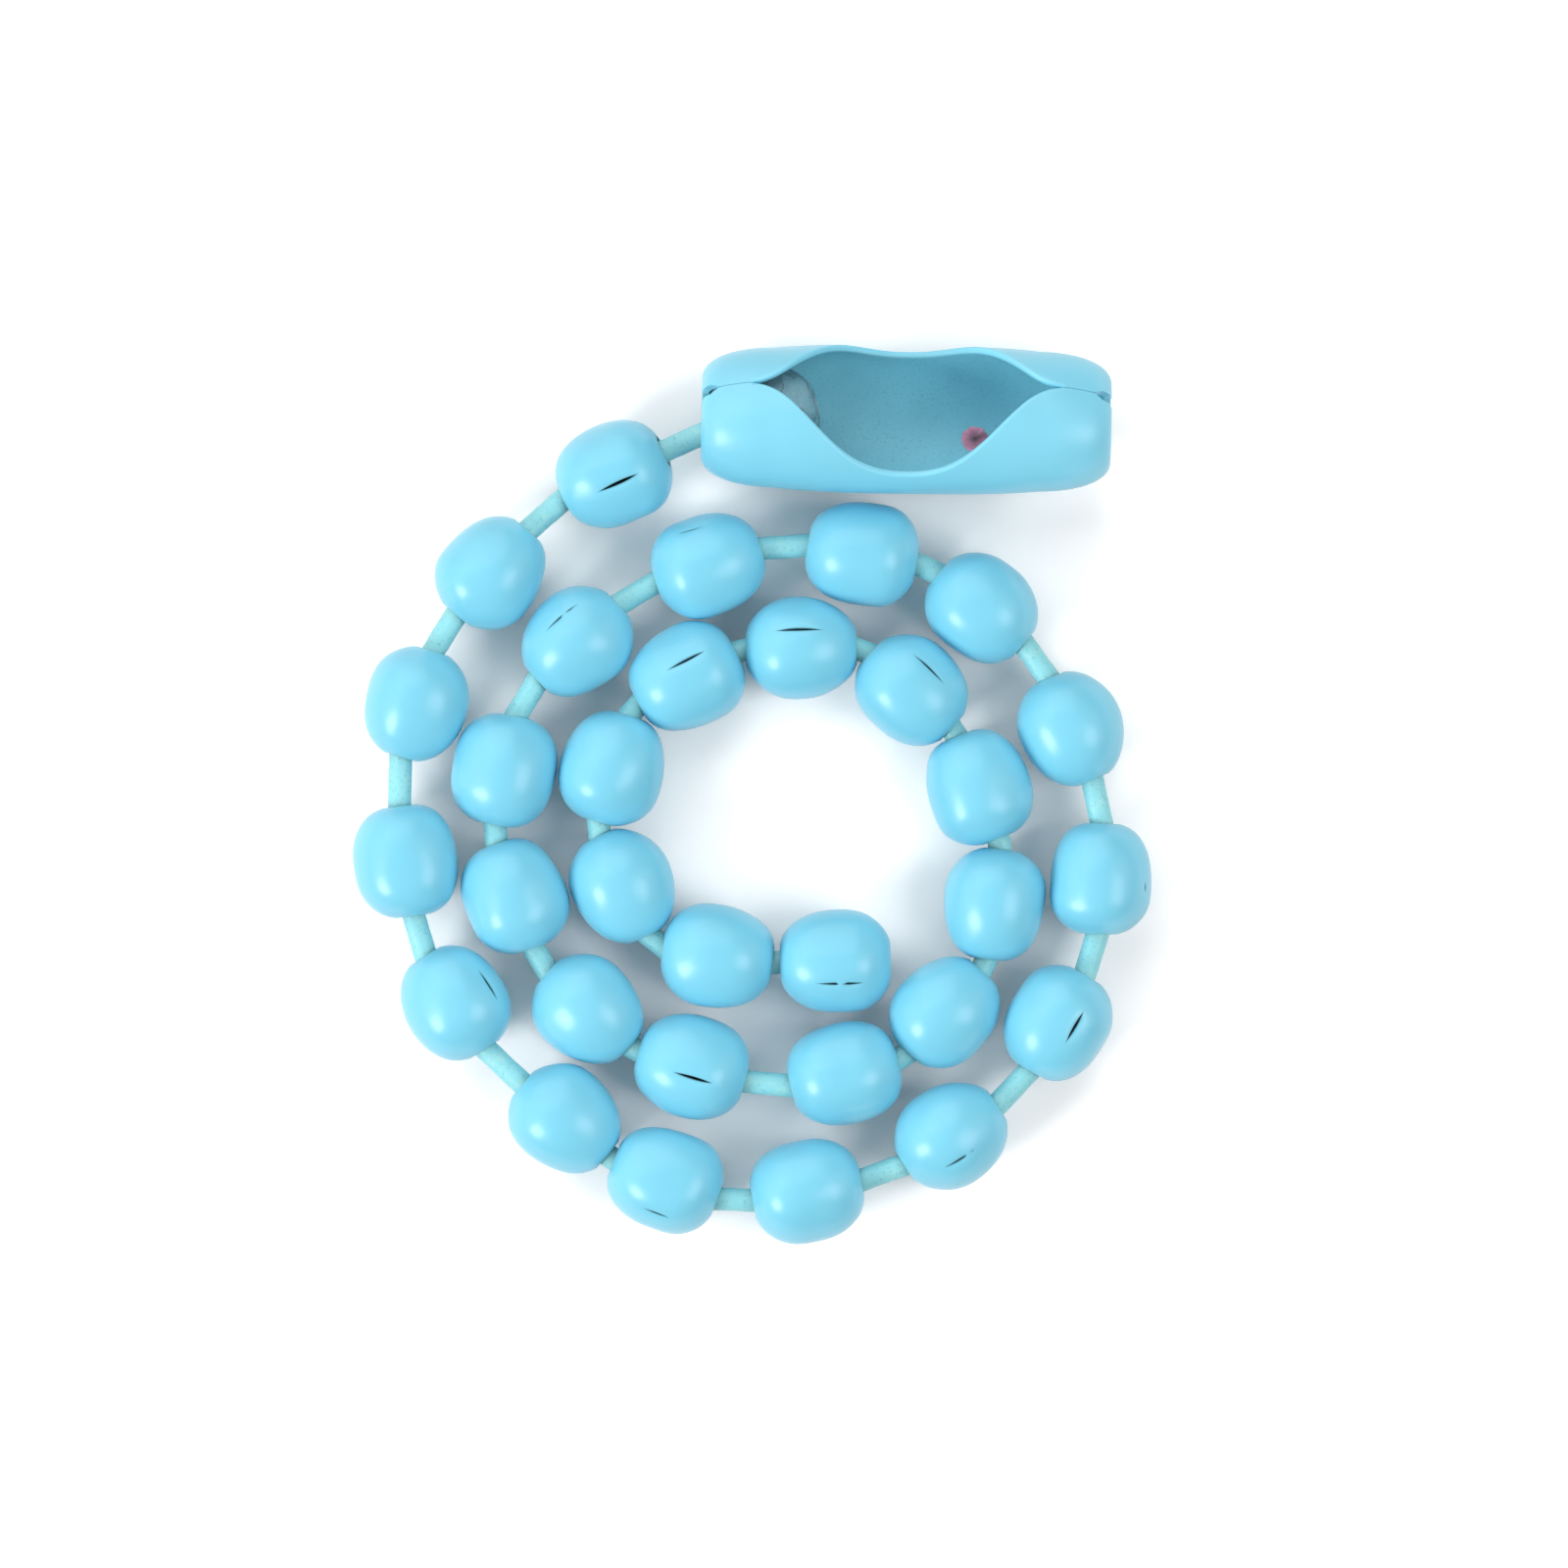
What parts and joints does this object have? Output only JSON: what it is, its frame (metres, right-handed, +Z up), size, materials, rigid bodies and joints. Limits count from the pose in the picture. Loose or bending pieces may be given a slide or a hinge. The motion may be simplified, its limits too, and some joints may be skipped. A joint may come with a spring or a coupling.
{
  "type": "roller blind chain",
  "caption": "Painted metal ball chain coiled flat in a spiral: hollow balls on short headed wires, with a folded sheet connector seated on its outer end.",
  "frame": {"origin": "bottom centre of the box around the whole part as it lies coiled", "axes": "+Z up out of the coil's plane, which is the part's shortest extent; +Y across the coil towards the connector, which is the longest extent; +X along the connector, towards its empty seat"},
  "size_m": [0.034, 0.0382, 0.0062],
  "materials": {
    "ball_paint": "light blue paint, satin",
    "wire_paint": "teal paint, duller than the balls",
    "connector_paint": "light blue paint, satin",
    "bare_steel": "dull bare metal with traces of paint"
  },
  "bodies": {
    "coil": {"link_08": "wire_paint", "link_09": "wire_paint", "link_10": "wire_paint", "link_11": "wire_paint", "link_12": "wire_paint", "link_13": "wire_paint", "link_14": "wire_paint", "link_15": "wire_paint", "link_16": "wire_paint", "link_17": "wire_paint", "link_18": "wire_paint", "link_19": "wire_paint", "link_20": "wire_paint", "link_21": "wire_paint", "link_22": "wire_paint", "link_23": "wire_paint", "link_24": "wire_paint", "link_25": "wire_paint", "link_26": "wire_paint", "link_27": "wire_paint"},
    "link_07": {"link_07": "wire_paint"},
    "link_06": {"link_06": "wire_paint"},
    "link_05": {"link_05": "wire_paint"},
    "link_04": {"link_04": "wire_paint"},
    "link_03": {"link_03": "wire_paint"},
    "link_02": {"link_02": "wire_paint"},
    "link_01": {"link_01": "wire_paint"},
    "ball_01": {"ball_01": "ball_paint"},
    "ball_00": {"ball_00": "bare_steel"},
    "connector": {"connector": "connector_paint"},
    "ball_29": {"ball_29": "ball_paint"},
    "ball_30": {"ball_30": "ball_paint"},
    "ball_31": {"ball_31": "ball_paint"},
    "ball_02": {"ball_02": "ball_paint"},
    "ball_03": {"ball_03": "ball_paint"},
    "ball_04": {"ball_04": "ball_paint"},
    "ball_05": {"ball_05": "ball_paint"},
    "ball_06": {"ball_06": "ball_paint"},
    "ball_07": {"ball_07": "ball_paint"},
    "ball_08": {"ball_08": "ball_paint"},
    "ball_09": {"ball_09": "ball_paint"},
    "ball_10": {"ball_10": "ball_paint"},
    "ball_11": {"ball_11": "ball_paint"},
    "ball_12": {"ball_12": "ball_paint"},
    "ball_13": {"ball_13": "ball_paint"},
    "ball_14": {"ball_14": "ball_paint"},
    "ball_15": {"ball_15": "ball_paint"},
    "ball_16": {"ball_16": "ball_paint"},
    "ball_17": {"ball_17": "ball_paint"},
    "ball_18": {"ball_18": "ball_paint"},
    "ball_19": {"ball_19": "ball_paint"},
    "ball_20": {"ball_20": "ball_paint"},
    "ball_21": {"ball_21": "ball_paint"},
    "ball_22": {"ball_22": "ball_paint"},
    "ball_23": {"ball_23": "ball_paint"},
    "ball_24": {"ball_24": "ball_paint"},
    "ball_25": {"ball_25": "ball_paint"},
    "ball_26": {"ball_26": "ball_paint"},
    "ball_27": {"ball_27": "ball_paint"},
    "ball_28": {"ball_28": "ball_paint"}
  },
  "joints": [
    {"name": "swing_link_07", "type": "hinge", "parent": "coil", "child": "link_07", "pos_m": [0.00011, -0.01731, 0.00225], "axis": [0, 0, 1], "range_deg": [0, 35]},
    {"name": "swing_link_06", "type": "hinge", "parent": "link_07", "child": "link_06", "pos_m": [-0.0058, -0.01563, 0.00225], "axis": [0, 0, 1], "range_deg": [0, 35]},
    {"name": "swing_link_05", "type": "hinge", "parent": "link_06", "child": "link_05", "pos_m": [-0.0097, -0.01244, 0.00225], "axis": [0, 0, 1], "range_deg": [0, 20]},
    {"name": "swing_link_04", "type": "hinge", "parent": "link_05", "child": "link_04", "pos_m": [-0.01389, -0.00704, 0.00225], "axis": [0, 0, 1], "range_deg": [0, 35]},
    {"name": "swing_link_03", "type": "hinge", "parent": "link_04", "child": "link_03", "pos_m": [-0.01506, -0.00069, 0.00225], "axis": [0, 0, 1], "range_deg": [0, 25]},
    {"name": "swing_link_02", "type": "hinge", "parent": "link_03", "child": "link_02", "pos_m": [-0.01371, 0.00592, 0.00225], "axis": [0, 0, 1], "range_deg": [0, 35]},
    {"name": "swing_link_01", "type": "hinge", "parent": "link_02", "child": "link_01", "pos_m": [-0.00971, 0.01108, 0.00225], "axis": [0, 0, 1], "range_deg": [0, 25]},
    {"name": "swing_ball_01", "type": "hinge", "parent": "link_01", "child": "ball_01", "pos_m": [-0.00792, 0.01265, 0.002], "axis": [0, 0, 1], "range_deg": [0, 30]},
    {"name": "lift_ball_00", "type": "hinge", "parent": "ball_01", "child": "ball_00", "pos_m": [-0.00395, 0.01449, 0.0025], "axis": [0.4207, -0.9072, 0], "range_deg": [-15, 15]},
    {"name": "lift_ball_29", "type": "hinge", "parent": "coil", "child": "ball_29", "pos_m": [-0.00662, -0.00104, 0.00225], "axis": [-0.9611, 0.2761, 0], "range_deg": [-15, 15]},
    {"name": "lift_ball_30", "type": "hinge", "parent": "ball_29", "child": "ball_30", "pos_m": [-0.0046, -0.00591, 0.00225], "axis": [-0.9004, -0.4351, 0], "range_deg": [-12, 12]},
    {"name": "lift_ball_31", "type": "hinge", "parent": "ball_30", "child": "ball_31", "pos_m": [0.00064, -0.00722, 0.00225], "axis": [-0.1379, -0.9904, 0], "range_deg": [-20, 20]},
    {"name": "roll_connector", "type": "hinge", "parent": "ball_00", "child": "connector", "pos_m": [0.00649, 0.01588, 0.00316], "axis": [0.9999, -0.0161, 0], "continuous": true},
    {"name": "swivel_ball_02", "type": "hinge", "parent": "link_02", "child": "ball_02", "pos_m": [-0.01114, 0.00941, 0.00225], "axis": [0.648, 0.7616, 0], "continuous": true},
    {"name": "swivel_ball_03", "type": "hinge", "parent": "link_03", "child": "ball_03", "pos_m": [-0.01435, 0.00382, 0.00225], "axis": [0.2942, 0.9557, 0], "continuous": true},
    {"name": "swivel_ball_04", "type": "hinge", "parent": "link_04", "child": "ball_04", "pos_m": [-0.01477, -0.00288, 0.00225], "axis": [-0.1289, 0.9917, 0], "continuous": true},
    {"name": "swivel_ball_05", "type": "hinge", "parent": "link_05", "child": "ball_05", "pos_m": [-0.0127, -0.00889, 0.00225], "axis": [-0.5418, 0.8405, 0], "continuous": true},
    {"name": "swivel_ball_06", "type": "hinge", "parent": "link_06", "child": "ball_06", "pos_m": [-0.00802, -0.01386, 0.00225], "axis": [-0.7644, 0.6448, 0], "continuous": true},
    {"name": "swivel_ball_07", "type": "hinge", "parent": "link_07", "child": "ball_07", "pos_m": [-0.00375, -0.01642, 0.00225], "axis": [-0.9327, 0.3608, 0], "continuous": true},
    {"name": "swivel_ball_08", "type": "hinge", "parent": "coil", "child": "ball_08", "pos_m": [0.00228, -0.0169, 0.00225], "axis": [-0.983, -0.1836, 0], "continuous": true},
    {"name": "swivel_ball_09", "type": "hinge", "parent": "coil", "child": "ball_09", "pos_m": [0.00839, -0.01454, 0.00225], "axis": [-0.842, -0.5395, 0], "continuous": true},
    {"name": "swivel_ball_10", "type": "hinge", "parent": "coil", "child": "ball_10", "pos_m": [0.01294, -0.00976, 0.00225], "axis": [-0.503, -0.8643, 0], "continuous": true},
    {"name": "swivel_ball_11", "type": "hinge", "parent": "coil", "child": "ball_11", "pos_m": [0.01475, -0.00362, 0.00225], "axis": [-0.0393, -0.9992, 0], "continuous": true},
    {"name": "swivel_ball_12", "type": "hinge", "parent": "coil", "child": "ball_12", "pos_m": [0.01351, 0.00275, 0.00225], "axis": [0.3984, -0.9172, 0], "continuous": true},
    {"name": "swivel_ball_13", "type": "hinge", "parent": "coil", "child": "ball_13", "pos_m": [0.0097, 0.00789, 0.00225], "axis": [0.7712, -0.6366, 0], "continuous": true},
    {"name": "swivel_ball_14", "type": "hinge", "parent": "coil", "child": "ball_14", "pos_m": [0.00462, 0.0102, 0.00225], "axis": [0.9862, -0.1655, 0], "continuous": true},
    {"name": "swivel_ball_15", "type": "hinge", "parent": "coil", "child": "ball_15", "pos_m": [-0.00194, 0.00974, 0.00225], "axis": [0.9521, 0.3059, 0], "continuous": true},
    {"name": "swivel_ball_16", "type": "hinge", "parent": "coil", "child": "ball_16", "pos_m": [-0.00749, 0.00645, 0.00225], "axis": [0.7314, 0.6819, 0], "continuous": true},
    {"name": "swivel_ball_17", "type": "hinge", "parent": "coil", "child": "ball_17", "pos_m": [-0.01061, 0.00099, 0.00225], "axis": [0.1897, 0.9818, 0], "continuous": true},
    {"name": "swivel_ball_18", "type": "hinge", "parent": "coil", "child": "ball_18", "pos_m": [-0.01017, -0.00436, 0.00225], "axis": [-0.3329, 0.943, 0], "continuous": true},
    {"name": "swivel_ball_19", "type": "hinge", "parent": "coil", "child": "ball_19", "pos_m": [-0.00702, -0.00919, 0.00225], "axis": [-0.7423, 0.6701, 0], "continuous": true},
    {"name": "swivel_ball_20", "type": "hinge", "parent": "coil", "child": "ball_20", "pos_m": [-0.00263, -0.01162, 0.00225], "axis": [-0.9604, 0.2787, 0], "continuous": true},
    {"name": "swivel_ball_21", "type": "hinge", "parent": "coil", "child": "ball_21", "pos_m": [0.00386, -0.01191, 0.00225], "axis": [-0.9707, -0.2402, 0], "continuous": true},
    {"name": "swivel_ball_22", "type": "hinge", "parent": "coil", "child": "ball_22", "pos_m": [0.00816, -0.00928, 0.00225], "axis": [-0.6619, -0.7496, 0], "continuous": true},
    {"name": "swivel_ball_23", "type": "hinge", "parent": "coil", "child": "ball_23", "pos_m": [0.01024, -0.00471, 0.00225], "axis": [-0.1241, -0.9923, 0], "continuous": true},
    {"name": "swivel_ball_24", "type": "hinge", "parent": "coil", "child": "ball_24", "pos_m": [0.00956, 0.00027, 0.00225], "axis": [0.3785, -0.9256, 0], "continuous": true},
    {"name": "swivel_ball_25", "type": "hinge", "parent": "coil", "child": "ball_25", "pos_m": [0.00672, 0.0044, 0.00225], "axis": [0.7349, -0.6782, 0], "continuous": true},
    {"name": "swivel_ball_26", "type": "hinge", "parent": "coil", "child": "ball_26", "pos_m": [0.00203, 0.0062, 0.00225], "axis": [0.9999, 0.0116, 0], "continuous": true},
    {"name": "swivel_ball_27", "type": "hinge", "parent": "coil", "child": "ball_27", "pos_m": [-0.00283, 0.00494, 0.00225], "axis": [0.8835, 0.4683, 0], "continuous": true},
    {"name": "swivel_ball_28", "type": "hinge", "parent": "coil", "child": "ball_28", "pos_m": [-0.00601, 0.00107, 0.00225], "axis": [0.2761, 0.9611, 0], "continuous": true}
  ]
}
